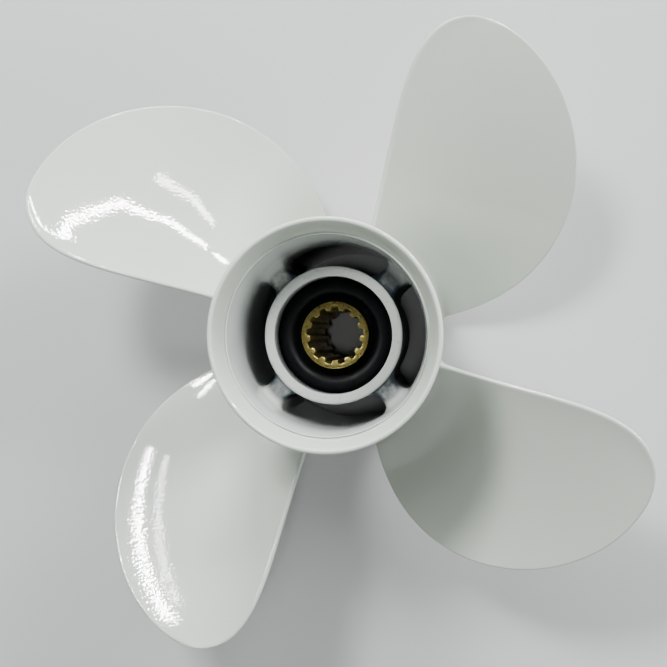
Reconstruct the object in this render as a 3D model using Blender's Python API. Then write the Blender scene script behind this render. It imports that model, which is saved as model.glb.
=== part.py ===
"""Four-blade outboard-motor propeller with exhaust through its hub.

Metres, +Z up. The propeller stands on the front rim of its barrel, with the origin in the
middle of that rim and +Z along the shaft towards the aft end. Seen from aft it turns
clockwise. The barrel, hub, ribs and blades are one aluminium casting in the real thing, and
a rubber bush carries a splined brass sleeve in its middle.
"""

import math

import bmesh
import bpy
from mathutils import Vector

# Clearance between solids that touch in the real propeller
GAP = 0.0003

# Barrel
BARREL_LENGTH = 0.127
RIM_RADIUS = 0.046
RIM_ROUND = 0.001
FRONT_RADIUS = 0.0409
OUTSIDE_DRAFT = 0.022
FLARE_START = 0.098
MOUTH_DEPTH = 0.0079
MOUTH_RADIUS = 0.0402
STEP_RADIUS = 0.0396
THROAT_DEPTH = 0.028
THROAT_RADIUS = 0.0379
FRONT_BORE_RADIUS = 0.0374
FRONT_EDGE_ROUND = 0.0006
BARREL_SIDES = 80

# Inner hub, whose ring face lies below the barrel's aft rim
HUB_TOP = BARREL_LENGTH - 0.0321
HUB_BOTTOM = 0.009
HUB_BORE_RADIUS = 0.0240
HUB_TOP_RADIUS = 0.0281
HUB_BOTTOM_RADIUS = 0.0258
HUB_EDGE_ROUND = 0.0012
HUB_SIDES = 64

# Ribs between the hub and the barrel, thicker at the aft end
RIB_COUNT = 4
RIB_FIRST_ANGLE = math.radians(44.3)
RIB_TOP = BARREL_LENGTH - 0.0365
RIB_BOTTOM = 0.010
RIB_TOP_WIDTH = 0.0092
RIB_BOTTOM_WIDTH = 0.0054
RIB_ROOT_FLARE = 0.0016
RIB_EDGE_ROUND = 0.0022

# Rubber bush
BUSH_BOTTOM = 0.0125
BUSH_SHOULDER = BARREL_LENGTH - 0.0445
BUSH_CREST = BARREL_LENGTH - 0.0405
BUSH_CREST_RADIUS = 0.0200
BUSH_DIP = BARREL_LENGTH - 0.0460
BUSH_SIDES = 56

# Brass sleeve
SLEEVE_TOP = BARREL_LENGTH - 0.0391
SLEEVE_BOTTOM = BARREL_LENGTH - 0.1160
SLEEVE_RADIUS = 0.01386
SLEEVE_FLANGE_RADIUS = 0.0165
SLEEVE_FLANGE_HEIGHT = 0.0060
SPLINE_COUNT = 13
SPLINE_ROOT_RADIUS = 0.0118
SPLINE_TIP_RADIUS = 0.0104
SPLINE_CHAMFER = 0.0008
SEAT_RADIUS = 0.0130
SEAT_DEPTH = 0.0100

# Blades: a screw surface with rake, between two edges that meet at the tip
BLADE_COUNT = 4
BLADE_STEP = math.radians(90)
TIP_RADIUS = 0.1435
PITCH = 0.3438
SCREW_HEIGHT = -0.0034
RAKE = 0.46
RAKE_CURVE = -1.37
RAKE_FROM_RADIUS = 0.046
EDGE_ROOT_RADIUS = 0.044
TIP_ANGLE = math.radians(60.8)
TRAILING_ANGLES = [math.radians(a) for a in (70.0, 77.3, 74.2, 73.5)]
LEADING_ANGLES = [math.radians(a) for a in (48.5, 35.5, 14.0, 11.7)]
EDGE_THICKNESS = 0.0021
TIP_THICKNESS = 0.0030
ROOT_THICKNESS = 0.0100
CUP_HEIGHT = 0.0012
CUP_SHARE = 0.12
FILLET = 0.0060
LEADING_FILLET = 0.0026
TRAILING_FILLET = 0.0045
BLADE_ROOT_RADIUS = 0.0424
BLADE_STATIONS = 12
BLADE_ROWS = 13


def paint(name, colour, metallic, roughness):
    """A plain Principled material."""
    made = bpy.data.materials.new(name)
    made.use_nodes = True
    shader = made.node_tree.nodes["Principled BSDF"]
    shader.inputs["Base Color"].default_value = (*colour, 1.0)
    shader.inputs["Metallic"].default_value = metallic
    shader.inputs["Roughness"].default_value = roughness
    made.diffuse_color = (*colour, 1.0)
    return made


def polar(radius, angle, height):
    return Vector((radius * math.cos(angle), radius * math.sin(angle), height))


def arc(middle_radius, middle_height, size, start, end, steps):
    """Points of a profile arc, as (radius, height), with its angles in degrees."""
    points = []
    for i in range(steps + 1):
        turn = math.radians(start + (end - start) * i / steps)
        points.append((middle_radius + size * math.cos(turn), middle_height + size * math.sin(turn)))
    return points


def place(name, bm, material, sharp_degrees=40):
    """Make an object of a bmesh whose points already lie where they belong."""
    mesh = bpy.data.meshes.new(name)
    bmesh.ops.recalc_face_normals(bm, faces=bm.faces)
    bm.to_mesh(mesh)
    bm.free()
    mesh.shade_smooth()
    mesh.set_sharp_from_angle(angle=math.radians(sharp_degrees))
    mesh.materials.append(material)
    made = bpy.data.objects.new(name, mesh)
    bpy.context.scene.collection.objects.link(made)
    return made


def turned(name, profile, sides, material):
    """A ring turned from a closed profile that runs down its outer side and up its inner one."""
    mesh = bpy.data.meshes.new(name)
    count = len(profile)
    edges = [(i, (i + 1) % count) for i in range(count)]
    mesh.from_pydata([(radius, 0.0, height) for radius, height in profile], edges, [])
    mesh.materials.append(material)
    made = bpy.data.objects.new(name, mesh)
    bpy.context.scene.collection.objects.link(made)
    screw = made.modifiers.new("turn", "SCREW")
    screw.axis = "Z"
    screw.angle = math.tau
    screw.steps = sides
    screw.render_steps = sides
    screw.use_merge_vertices = True
    screw.merge_threshold = 0.00001
    screw.use_smooth_shade = True
    return made


def skin_rings(bm, rings):
    """Join rings of points with quads."""
    loops = [[bm.verts.new(point) for point in ring] for ring in rings]
    count = len(loops[0])
    for below, above in zip(loops, loops[1:]):
        for i in range(count):
            j = (i + 1) % count
            bm.faces.new((below[i], below[j], above[j], above[i]))
    return loops


def close_with_quads(bm, loop):
    """Close a loop whose second half runs back beside its first half."""
    for i in range(len(loop) // 2 - 1):
        bm.faces.new((loop[i], loop[i + 1], loop[-2 - i], loop[-1 - i]))


def barrel_outside(height):
    """Radius of the barrel's outside: a slight taper, then the flare to the aft rim."""
    taper = FRONT_RADIUS + OUTSIDE_DRAFT * height
    share = max(0.0, (height - FLARE_START) / (BARREL_LENGTH - FLARE_START))
    flare = RIM_RADIUS - FRONT_RADIUS - OUTSIDE_DRAFT * BARREL_LENGTH
    return taper + flare * share ** 2


def barrel_inside(height):
    """Radius of the bore: slightly tapered, then wider from the throat to the step in the mouth."""
    throat = BARREL_LENGTH - THROAT_DEPTH
    step = BARREL_LENGTH - MOUTH_DEPTH
    if height < throat:
        return FRONT_BORE_RADIUS + (THROAT_RADIUS - FRONT_BORE_RADIUS) * height / throat
    share = (height - throat) / (step - throat)
    return THROAT_RADIUS + (STEP_RADIUS - THROAT_RADIUS) * share ** 2


def hub_outside(height):
    share = (height - HUB_BOTTOM) / (HUB_TOP - HUB_BOTTOM)
    return HUB_BOTTOM_RADIUS + (HUB_TOP_RADIUS - HUB_BOTTOM_RADIUS) * share


def make_outer_barrel(material):
    mouth_floor = BARREL_LENGTH - MOUTH_DEPTH
    profile = arc(RIM_RADIUS - RIM_ROUND, BARREL_LENGTH - RIM_ROUND, RIM_ROUND, 135, 0, 3)
    for share in (0.80, 0.55, 0.28, 0.0):
        height = FLARE_START + (BARREL_LENGTH - FLARE_START) * share
        profile.append((barrel_outside(height), height))
    profile.append((barrel_outside(BARREL_LENGTH / 2), BARREL_LENGTH / 2))
    profile += arc(FRONT_RADIUS - FRONT_EDGE_ROUND, FRONT_EDGE_ROUND, FRONT_EDGE_ROUND, 0, -90, 2)
    profile += arc(FRONT_BORE_RADIUS + FRONT_EDGE_ROUND, FRONT_EDGE_ROUND, FRONT_EDGE_ROUND, -90, -180, 2)
    for depth in (THROAT_DEPTH, 0.75 * THROAT_DEPTH, 0.5 * THROAT_DEPTH):
        height = BARREL_LENGTH - depth
        profile.append((barrel_inside(height), height))
    profile.append((STEP_RADIUS, mouth_floor))
    profile.append((MOUTH_RADIUS, mouth_floor + MOUTH_RADIUS - STEP_RADIUS))
    return turned("outer_barrel", profile, BARREL_SIDES, material)


def make_inner_hub(material):
    edge = HUB_EDGE_ROUND
    profile = arc(HUB_TOP_RADIUS - edge, HUB_TOP - edge, edge, 90, 0, 3)
    profile += arc(HUB_BOTTOM_RADIUS - edge, HUB_BOTTOM + edge, edge, 0, -90, 2)
    profile.append((HUB_BORE_RADIUS, HUB_BOTTOM))
    profile.append((HUB_BORE_RADIUS, HUB_TOP - edge / 2))
    profile.append((HUB_BORE_RADIUS + edge / 2, HUB_TOP))
    return turned("inner_hub", profile, HUB_SIDES, material)


def make_rib(name, angle, material):
    """A rib as a row of rounded sections from the hub to the barrel, wider at both ends."""
    across = Vector((-math.sin(angle), math.cos(angle), 0.0))
    outward = Vector((math.cos(angle), math.sin(angle), 0.0))
    low_corner = RIB_TOP - RIB_EDGE_ROUND
    rings = []
    for share in (0.0, 0.12, 0.3, 0.5, 0.7, 0.88, 1.0):
        flare = RIB_ROOT_FLARE * abs(2 * share - 1) ** 4
        half = RIB_TOP_WIDTH / 2 + flare
        flat = half - RIB_EDGE_ROUND
        narrow = (RIB_BOTTOM_WIDTH / 2 + flare) / half
        top = [(-half, low_corner), (-flat, RIB_TOP), (0.0, RIB_TOP), (flat, RIB_TOP), (half, low_corner)]
        bottom = [(side * narrow, RIB_BOTTOM) for side, height in reversed(top)]
        ring = []
        for side, height in top + bottom:
            inner = math.sqrt((hub_outside(height) + GAP) ** 2 - side ** 2)
            outer = math.sqrt((barrel_inside(height) - GAP) ** 2 - side ** 2)
            reach = inner + (outer - inner) * share
            ring.append(outward * reach + across * side + Vector((0.0, 0.0, height)))
        rings.append(ring)
    bm = bmesh.new()
    loops = skin_rings(bm, rings)
    close_with_quads(bm, loops[0])
    close_with_quads(bm, loops[-1])
    return place(name, bm, material)


def make_rubber_bush(material):
    outer = HUB_BORE_RADIUS - GAP
    inner = SLEEVE_RADIUS + GAP
    flange_top = SLEEVE_BOTTOM + SLEEVE_FLANGE_HEIGHT + GAP
    crest_half = (outer - BUSH_CREST_RADIUS) * 0.7
    profile = [
        (BUSH_CREST_RADIUS - crest_half, BUSH_CREST - 0.0012),
        (BUSH_CREST_RADIUS, BUSH_CREST),
        (BUSH_CREST_RADIUS + crest_half, BUSH_CREST - 0.0012),
        (outer, BUSH_SHOULDER),
        (outer, BUSH_BOTTOM),
        (SLEEVE_FLANGE_RADIUS + GAP, BUSH_BOTTOM),
        (SLEEVE_FLANGE_RADIUS + GAP, flange_top),
        (inner, flange_top),
        (inner, BUSH_DIP),
    ]
    return turned("rubber_bush", profile, BUSH_SIDES, material)


def spline_ring(height, root, tip):
    """One round of the splined bore: a flat-topped tooth and a flat-bottomed valley per spline."""
    points = []
    for tooth in range(SPLINE_COUNT):
        valley = math.radians(90) + math.tau * tooth / SPLINE_COUNT
        for share, radius in ((-0.22, root), (0.22, root), (0.34, tip), (0.66, tip)):
            points.append(polar(radius, valley + share * math.tau / SPLINE_COUNT, height))
    return points


def make_spline_sleeve(material):
    """Rings run up the outside and down the splined bore, and the last meets the first."""
    def round_ring(radius, height):
        return spline_ring(height, radius, radius)

    flange_top = SLEEVE_BOTTOM + SLEEVE_FLANGE_HEIGHT
    seat_top = SLEEVE_BOTTOM + SEAT_DEPTH
    rings = [
        round_ring(SLEEVE_FLANGE_RADIUS, SLEEVE_BOTTOM),
        round_ring(SLEEVE_FLANGE_RADIUS, flange_top),
        round_ring(SLEEVE_RADIUS, flange_top),
        round_ring(SLEEVE_RADIUS, SLEEVE_TOP),
        round_ring(SPLINE_ROOT_RADIUS + SPLINE_CHAMFER / 2, SLEEVE_TOP),
        spline_ring(SLEEVE_TOP - SPLINE_CHAMFER, SPLINE_ROOT_RADIUS, SPLINE_TIP_RADIUS),
        spline_ring(seat_top, SPLINE_ROOT_RADIUS, SPLINE_TIP_RADIUS),
        round_ring(SEAT_RADIUS, SLEEVE_BOTTOM),
    ]
    bm = bmesh.new()
    loops = skin_rings(bm, rings)
    count = len(loops[0])
    for i in range(count):
        j = (i + 1) % count
        bm.faces.new((loops[-1][i], loops[-1][j], loops[0][j], loops[0][i]))
    return place("spline_sleeve", bm, material)


def edge_angle(controls, inward):
    """Angle of a blade edge: a curve of four steps from the tip, inward 0, to the root, inward 1."""
    values = [TIP_ANGLE, *controls]
    order = len(values) - 1
    outward = 1.0 - inward
    return sum(
        math.comb(order, k) * outward ** (order - k) * inward ** k * value
        for k, value in enumerate(values)
    )


def fillet_at(radius, chord):
    """How far the fillet to the barrel thickens the blade here: less at its two edges."""
    reach = FILLET
    if chord < 0.3:
        reach = LEADING_FILLET + (FILLET - LEADING_FILLET) * chord / 0.3
    if chord > 0.8:
        reach = FILLET - (FILLET - TRAILING_FILLET) * (chord - 0.8) / 0.2
    rise = min(reach, reach - (radius - BLADE_ROOT_RADIUS))
    return reach - math.sqrt(reach ** 2 - rise ** 2) if rise > 0 else 0.0


def blade_point(radius, chord, side):
    """A point of the blade's skin. chord runs from 0 at the leading edge to 1 at the trailing
    edge; side is 1 on the aft face, which drives, and -1 on the forward face."""
    inward = math.sqrt(max(0.0, (TIP_RADIUS - radius) / (TIP_RADIUS - EDGE_ROOT_RADIUS)))
    slope = math.atan2(PITCH, math.tau * radius)
    along = math.cos(slope) / radius
    leading = edge_angle(LEADING_ANGLES, inward) - fillet_at(radius, 0.0) * along
    trailing = edge_angle(TRAILING_ANGLES, inward) + fillet_at(radius, 1.0) * along
    turn = leading + (trailing - leading) * chord
    out = radius - RAKE_FROM_RADIUS
    height = SCREW_HEIGHT + PITCH * turn / math.tau + RAKE * out + RAKE_CURVE * out ** 2
    height += CUP_HEIGHT * max(0.0, (chord - 1 + CUP_SHARE) / CUP_SHARE) ** 2
    span = max(0.0, (radius - EDGE_ROOT_RADIUS) / (TIP_RADIUS - EDGE_ROOT_RADIUS))
    thickest = ROOT_THICKNESS + (TIP_THICKNESS - ROOT_THICKNESS) * span ** 0.8
    body = max(0.0, 1.0 - (2.0 * chord - 1.0) ** 2) ** 0.75
    offset = EDGE_THICKNESS / 2 + fillet_at(radius, chord)
    if side < 0:
        offset = -offset - (thickest - EDGE_THICKNESS) * body
    return turn - offset * math.sin(slope) / radius, height + offset * math.cos(slope)


def close_root(bm, loop):
    """Close a blade's root with faces that follow the barrel, so that they keep the gap to it."""
    rows = []
    for i in range(BLADE_STATIONS):
        forward, aft = loop[i], loop[-1 - i]
        between = []
        if 0 < i < BLADE_STATIONS - 1:
            for share in (1 / 3, 2 / 3):
                middle = forward.co.lerp(aft.co, share)
                radius = barrel_outside(middle.z) + GAP
                between.append(bm.verts.new(polar(radius, math.atan2(middle.y, middle.x), middle.z)))
        rows.append([forward, *between, aft])
    for row, following in zip(rows, rows[1:]):
        if len(row) == len(following):
            for i in range(len(row) - 1):
                bm.faces.new((row[i], row[i + 1], following[i + 1], following[i]))
        else:
            ends, full = sorted((row, following), key=len)
            bm.faces.new((ends[0], full[0], full[1]))
            bm.faces.new((ends[0], full[1], full[2], ends[1]))
            bm.faces.new((ends[1], full[2], full[3]))


def make_blade(name, angle, material):
    """Rows of constant radius from the barrel to the tip, each a loop round the section."""
    last = BLADE_STATIONS - 1
    chords = [0.5 - 0.5 * math.cos(math.pi * i / last) for i in range(BLADE_STATIONS)]
    stations = [(chord, -1) for chord in chords] + [(chord, 1) for chord in reversed(chords)]
    radii = [BLADE_ROOT_RADIUS + rise for rise in (0.0, 0.0010, 0.0030, FILLET)]
    shares = [(i + 1) / BLADE_ROWS for i in range(BLADE_ROWS - 1)] + [1 - 0.2 / BLADE_ROWS]
    radii += [TIP_RADIUS - (TIP_RADIUS - radii[-1]) * (1 - share) ** 2 for share in shares]
    rings = []
    for row, radius in enumerate(radii):
        ring = []
        for chord, side in stations:
            turn, height = blade_point(radius, chord, side)
            on_barrel = barrel_outside(height) + GAP if row == 0 else radius
            ring.append(polar(on_barrel, turn + angle, height))
        rings.append(ring)
    bm = bmesh.new()
    loops = skin_rings(bm, rings)
    close_root(bm, loops[0])
    close_with_quads(bm, loops[-1])
    return place(name, bm, material)


def build():
    for old in list(bpy.data.objects):
        bpy.data.objects.remove(old)
    white = paint("white_paint", (0.66, 0.68, 0.64), 0.0, 0.25)
    sprayed = paint("sprayed_hub", (0.45, 0.46, 0.45), 0.0, 0.45)
    rubber = paint("black_rubber", (0.02, 0.02, 0.02), 0.0, 0.60)
    brass = paint("cast_brass", (0.62, 0.48, 0.20), 1.0, 0.40)
    make_outer_barrel(white)
    make_inner_hub(sprayed)
    for i in range(RIB_COUNT):
        make_rib(f"rib_{i + 1}", RIB_FIRST_ANGLE + math.tau * i / RIB_COUNT, sprayed)
    for i in range(BLADE_COUNT):
        make_blade(f"blade_{i + 1}", BLADE_STEP * i, white)
    make_rubber_bush(rubber)
    make_spline_sleeve(brass)


build()
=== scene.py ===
# %% [markdown]
# # A four-blade outboard propeller
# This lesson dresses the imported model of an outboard-motor propeller. The real one is a
# single aluminium casting, sprayed white, with a rubber bush and a splined brass sleeve in
# its middle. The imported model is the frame: every size below is in metres in its frame,
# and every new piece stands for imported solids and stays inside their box.

# %% Load the frame
import functools
import math

import bmesh
import bpy
from mathutils import Matrix, Vector


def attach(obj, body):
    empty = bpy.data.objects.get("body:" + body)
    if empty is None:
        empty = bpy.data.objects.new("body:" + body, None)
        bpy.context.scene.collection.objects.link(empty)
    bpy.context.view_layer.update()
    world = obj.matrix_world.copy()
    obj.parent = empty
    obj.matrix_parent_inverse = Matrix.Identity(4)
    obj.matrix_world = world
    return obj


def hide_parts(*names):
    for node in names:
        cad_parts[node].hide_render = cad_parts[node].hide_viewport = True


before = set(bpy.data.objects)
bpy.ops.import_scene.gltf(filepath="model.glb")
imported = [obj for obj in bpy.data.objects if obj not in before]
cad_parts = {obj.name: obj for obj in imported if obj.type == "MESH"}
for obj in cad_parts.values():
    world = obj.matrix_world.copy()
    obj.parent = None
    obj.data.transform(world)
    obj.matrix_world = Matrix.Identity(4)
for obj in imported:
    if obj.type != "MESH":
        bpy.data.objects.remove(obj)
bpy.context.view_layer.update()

print("packed nodes:", ", ".join(sorted(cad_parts)))

# %% [markdown]
# ## Small helpers
# Blender's shaders work in linear light, and colours are picked as sRGB hex codes, so one
# function turns the codes. One more adds a node of any kind and fills its inputs, which
# keeps both the shape trees and the material trees short enough to read.

# %% Colours and nodes
# The kinds of node that are used most.
NOISE = "ShaderNodeTexNoise"
MAP_RANGE = "ShaderNodeMapRange"
MIX = "ShaderNodeMix"
BUMP = "ShaderNodeBump"
SEPARATE = "ShaderNodeSeparateXYZ"
COMBINE = "ShaderNodeCombineXYZ"
# A fade that starts and ends softly.
SMOOTH = {"interpolation_type": "SMOOTHSTEP"}


def linear(code):
    """The linear colour of a hex code."""
    shades = [int(code[i:i + 2], 16) / 255 for i in (0, 2, 4)]
    return [*(s / 12.92 if s <= 0.04045 else ((s + 0.055) / 1.055) ** 2.4 for s in shades), 1.0]


def connect(tree, socket, value):
    """Links a node or a socket to this socket, or sets the socket to a plain value."""
    if isinstance(value, bpy.types.Node):
        value = next(out for out in value.outputs if out.enabled)
    if isinstance(value, bpy.types.NodeSocket):
        tree.links.new(value, socket)
    else:
        socket.default_value = value


def add(tree, kind, *inputs, **settings):
    """Adds a node, or a Math node where kind is an operation such as "MULTIPLY".

    Inputs go in order, or by name where a dictionary is given. As an input, a node
    stands for its first output."""
    is_sum = kind.isupper()
    node = tree.nodes.new("ShaderNodeMath" if is_sum else kind)
    if is_sum:
        node.operation = kind
    for setting, value in settings.items():
        setattr(node, setting, value)
    open_sockets = [socket for socket in node.inputs if socket.enabled]
    by_name = {socket.name: socket for socket in reversed(open_sockets)}
    for i, given_input in enumerate(inputs):
        if isinstance(given_input, dict):
            for name, value in given_input.items():
                connect(tree, by_name[name], value)
        else:
            connect(tree, open_sockets[i], given_input)
    return node


print("white on screen f0f0ee is", [round(c, 3) for c in linear("f0f0ee")], "in linear light")

# %% [markdown]
# A finished piece is a plain mesh at the origin whose faces point outwards. The next helper
# makes such a piece, merges its seams, turns every face outwards, and prints its size and
# whether it is closed.

# %% Finished pieces
MERGE_DISTANCE = 1e-6


def put_in_scene(name, data):
    """A new object with this mesh, lamp or camera."""
    made = bpy.data.objects.new(name, data)
    bpy.context.scene.collection.objects.link(made)
    return made


def show(name, mesh, material=None, sharp=35):
    """Makes a mesh a piece of the model and reports on it."""
    if material:
        mesh.materials.clear()
        mesh.materials.append(material)
    shell = bmesh.new()
    shell.from_mesh(mesh)
    bmesh.ops.remove_doubles(shell, verts=shell.verts, dist=MERGE_DISTANCE)
    bmesh.ops.recalc_face_normals(shell, faces=shell.faces)
    open_edges = sum(1 for edge in shell.edges if len(edge.link_faces) != 2)
    volume = shell.calc_volume(signed=True)
    shell.to_mesh(mesh)
    shell.free()
    mesh.shade_smooth()
    mesh.set_sharp_from_angle(angle=math.radians(sharp))
    mesh.name = name
    piece = put_in_scene(name, mesh)
    triangles = sum(len(face.vertices) - 2 for face in mesh.polygons)
    print(f"{name}: {triangles} triangles, {volume * 1e6:.1f} ml, {open_edges} open edges")
    return piece

# %% [markdown]
# ## Geometry Nodes helpers
# The four blades, the four ribs and the thirteen splines each repeat round the shaft. Copying
# by hand would work, but a node tree with named inputs says the rule once: change the
# count and the rest follows. A tree is run on a small start object, its result is taken as
# a plain mesh, and the start object goes, so that no modifier is left.

# %% Run a tree
SOCKET_KINDS = {float: "NodeSocketFloat", int: "NodeSocketInt", type(None): "NodeSocketMaterial"}


def new_tree(name, inputs):
    """A geometry tree with a named input for each entry; a material where the value is None."""
    tree = bpy.data.node_groups.new(name, "GeometryNodeTree")
    tree.interface.new_socket("Geometry", in_out="INPUT", socket_type="NodeSocketGeometry")
    tree.interface.new_socket("Geometry", in_out="OUTPUT", socket_type="NodeSocketGeometry")
    for label, value in inputs.items():
        kind = SOCKET_KINDS[type(value)]
        made = tree.interface.new_socket(label, in_out="INPUT", socket_type=kind)
        if value is not None:
            made.default_value = value
    return tree, tree.nodes.new("NodeGroupInput").outputs


def repeat_round(tree, geometry, count, material):
    """The end of a tree: copies of the geometry, turned in even steps about Z."""
    points = add(tree, "GeometryNodeMeshLine", {"Count": count, "Offset": (0.0, 0.0, 0.0)})
    step = add(tree, "DIVIDE", math.tau, count)
    turn = add(tree, "MULTIPLY", add(tree, "GeometryNodeInputIndex"), step)
    spin = add(tree, COMBINE, {"Z": turn})
    placing = {"Points": points, "Instance": geometry, "Rotation": spin}
    copies = add(tree, "GeometryNodeInstanceOnPoints", placing)
    whole = add(tree, "GeometryNodeRealizeInstances", copies)
    dressed = add(tree, "GeometryNodeSetMaterial", {"Geometry": whole, "Material": material})
    add(tree, "NodeGroupOutput", dressed)


def grow(name, tree, values, start=None, sharp=35):
    """Runs a tree with these values and keeps its result as a plain piece."""
    seed = put_in_scene(name + "_seed", start or bpy.data.meshes.new(name + "_seed"))
    modifier = seed.modifiers.new(tree.name, "NODES")
    modifier.node_group = tree
    for socket in tree.interface.items_tree:
        if socket.in_out == "INPUT" and socket.name in values:
            modifier[socket.identifier] = values[socket.name]
    evaluated = seed.evaluated_get(bpy.context.evaluated_depsgraph_get())
    mesh = bpy.data.meshes.new_from_object(evaluated)
    bpy.data.objects.remove(seed)
    return show(name, mesh, sharp=sharp)


print("tree inputs can be", ", ".join(SOCKET_KINDS.values()))

# %% [markdown]
# ## White gloss paint
# The casting is sprayed with white enamel over a dark primer. Sprayed enamel cures with a
# faint orange peel: waves of 1 to 2 mm that break a sharp reflection into sparkles. A
# single shiny layer would either blur the sparkles or make the white look like plastic, so
# the shader has two: a rough colour coat, and a smooth clear coat on it. Both carry the
# same waves.

# %% Gloss enamel
ENAMEL_WHITE = "d5ddd2"
ENAMEL_SHADE = "ccd5c9"
# The coat is thicker here and thinner there over about 45 mm, and its shade drifts with it.
CLOUD_SIZE = 0.045
# The waves of the orange peel are 1.2 mm long and 0.016 mm high.
PEEL_WAVE = 0.0012
PEEL_HEIGHT = 0.000016
COLOUR_COAT = {"Roughness": 0.5, "Specular IOR Level": 0.1}
CLEAR_COAT = {"Coat Weight": 1.0, "Coat Roughness": 0.04}


def new_material(name):
    """An empty material with its tree, its shader and its Object coordinates."""
    material = bpy.data.materials.new(name)
    material.use_nodes = True
    tree = material.node_tree
    place = add(tree, "ShaderNodeTexCoord").outputs["Object"]
    return material, tree, tree.nodes["Principled BSDF"], place


def fill(tree, shader, inputs):
    """Links or sets the named inputs of a shader."""
    for name, value in inputs.items():
        connect(tree, shader.inputs[name], value)


def enamel_coats(tree, shader, place, colour):
    """A colour coat and a clear coat, both with the waves of sprayed paint as a bump."""
    waves = add(tree, NOISE, {"Vector": place, "Scale": 1 / PEEL_WAVE, "Detail": 0.5})
    peel = add(tree, BUMP, {"Strength": 1.0, "Distance": PEEL_HEIGHT, "Height": waves})
    fill(tree, shader, {"Base Color": colour, "Normal": peel, "Coat Normal": peel})
    fill(tree, shader, COLOUR_COAT)
    fill(tree, shader, CLEAR_COAT)


def gloss_enamel():
    """Sprayed enamel. It gives the eye a soft, faintly green white, in which lamps show as
    bright arcs that break into sparkles."""
    material, tree, shader, place = new_material("gloss_enamel_on_cast_aluminium")
    cloud = add(tree, NOISE, {"Vector": place, "Scale": 1 / CLOUD_SIZE, "Detail": 2.0})
    colour = add(tree, MIX, cloud, linear(ENAMEL_SHADE), linear(ENAMEL_WHITE), data_type="RGBA")
    enamel_coats(tree, shader, place, colour)
    return material


enamel = gloss_enamel()
print("made", enamel.name)

# %% [markdown]
# ## Where the spray did not reach
# The gun pointed down from the aft end, so inside the barrel the white thins out into the
# dark primer. The edge slants as painted shade, high on the top wall, which lies in shade,
# and low on the lit bottom wall. A painted mask would need an image, so the share of white
# is worked out from the height in the bore instead. A noise breaks it up, so the edge is
# soft and uneven as overspray is.

# %% Overspray inside the barrel
PRIMER_DARK = "1c2731"
# Painted light: the bore's white is lighter than the enamel, to brighten the deep bore.
BORE_PAINTED_LIGHT_WHITE = "e0e6e3"
# The middle of the edge lies this high on the shaft's sides, and rises with Y by the slant.
# The slant is painted shade: the edge is high on the shaded top wall, low on the lit bottom.
SPRAY_LINE = 0.032
SPRAY_SHADE_SLANT = 1.0
# Half the width of the fade, how much narrower it gets with Y, and how ragged it is.
SPRAY_SOFT = 0.017
SPRAY_NARROWING = -0.2
SPRAY_RAGGED = 1.6 * SPRAY_SOFT
# The droplets of real overspray are under 0.5 mm. They show as speckles of 4 mm and less.
SPECKLE_SIZE = 0.004
# Between these radii the bore's paint, thinned by the spray and lighter than the enamel as
# painted light, becomes the full enamel of the mouth and outside.
MOUTH_INNER = 0.0392
MOUTH_OUTER = 0.0402
# The wall is whiter towards the front end, and the white fades out between these heights.
FRONT_FADE_END = 0.060
FRONT_FADE_START = 0.030
FRONT_WHITENING = 0.42


def spray_share(tree, place):
    """1 where white lies and 0 where the primer shows."""
    parts = add(tree, SEPARATE, place).outputs
    grains = {"Vector": place, "Scale": 1 / SPECKLE_SIZE, "Detail": 6.0, "Roughness": 0.7}
    speckle = add(tree, "SUBTRACT", add(tree, NOISE, grains), 0.5)
    # Painted shade: the slant lifts the edge on the shaded top wall and lowers it on the lit bottom.
    edge = add(tree, "MULTIPLY_ADD", parts["Y"], SPRAY_SHADE_SLANT, SPRAY_LINE)
    above = add(tree, "SUBTRACT", parts["Z"], edge)
    uneven = add(tree, "MULTIPLY_ADD", speckle, SPRAY_RAGGED, above)
    soft = add(tree, "MULTIPLY_ADD", parts["Y"], SPRAY_NARROWING, SPRAY_SOFT)
    depth = add(tree, "DIVIDE", uneven, soft)
    return add(tree, MAP_RANGE, depth, -1.0, 1.0, 0.0, 1.0, **SMOOTH)


def off_axis(tree, parts):
    """How far a point is from the shaft's axis."""
    flat = add(tree, COMBINE, parts["X"], parts["Y"])
    return add(tree, "ShaderNodeVectorMath", flat, operation="LENGTH").outputs["Value"]


def barrel_enamel():
    """Sprayed enamel outside and in the mouth, thinning to primer down the bore. It gives
    the eye a bright funnel whose white fades into a dark, blue-black depth."""
    material, tree, shader, place = new_material("gloss_enamel_thinning_in_the_bore")
    parts = add(tree, SEPARATE, place).outputs
    away = off_axis(tree, parts)
    outside = add(tree, MAP_RANGE, away, MOUTH_INNER, MOUTH_OUTER, 0.0, 1.0)
    white = add(tree, "MAXIMUM", outside, spray_share(tree, place))
    front = add(tree, MAP_RANGE, parts["Z"], FRONT_FADE_END, FRONT_FADE_START, 0.0, FRONT_WHITENING, **SMOOTH)
    white = add(tree, "MAXIMUM", white, front)
    paint = add(tree, MIX, outside, linear(BORE_PAINTED_LIGHT_WHITE), linear(ENAMEL_WHITE), data_type="RGBA")
    colour = add(tree, MIX, white, linear(PRIMER_DARK), paint, data_type="RGBA")
    enamel_coats(tree, shader, place, colour)
    return material


bore_enamel = barrel_enamel()
rise = SPRAY_SHADE_SLANT * MOUTH_INNER
print("spray line, mm high:", round(1000 * (SPRAY_LINE - rise)), "to", round(1000 * (SPRAY_LINE + rise)))

# %% [markdown]
# ## The ribs and the ring
# The ribs and the hub are the same casting, dark with primer. Overspray lies as a mottled
# dust on what faces aft, and the ring's flat face is dulled by handling, with small pits.
# The two could have a material each, but one surface runs through both, so one material
# decides by direction, height and distance from the shaft how much white lies where.

# %% Casting with overspray
DUSTY_WHITE = "b6bab6"
# The sizes of the dust's speckles and patches, and of the pits.
DUST_SIZE = 0.0035
PATCH_SIZE = 0.012
PIT_SIZE = 0.0016
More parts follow.
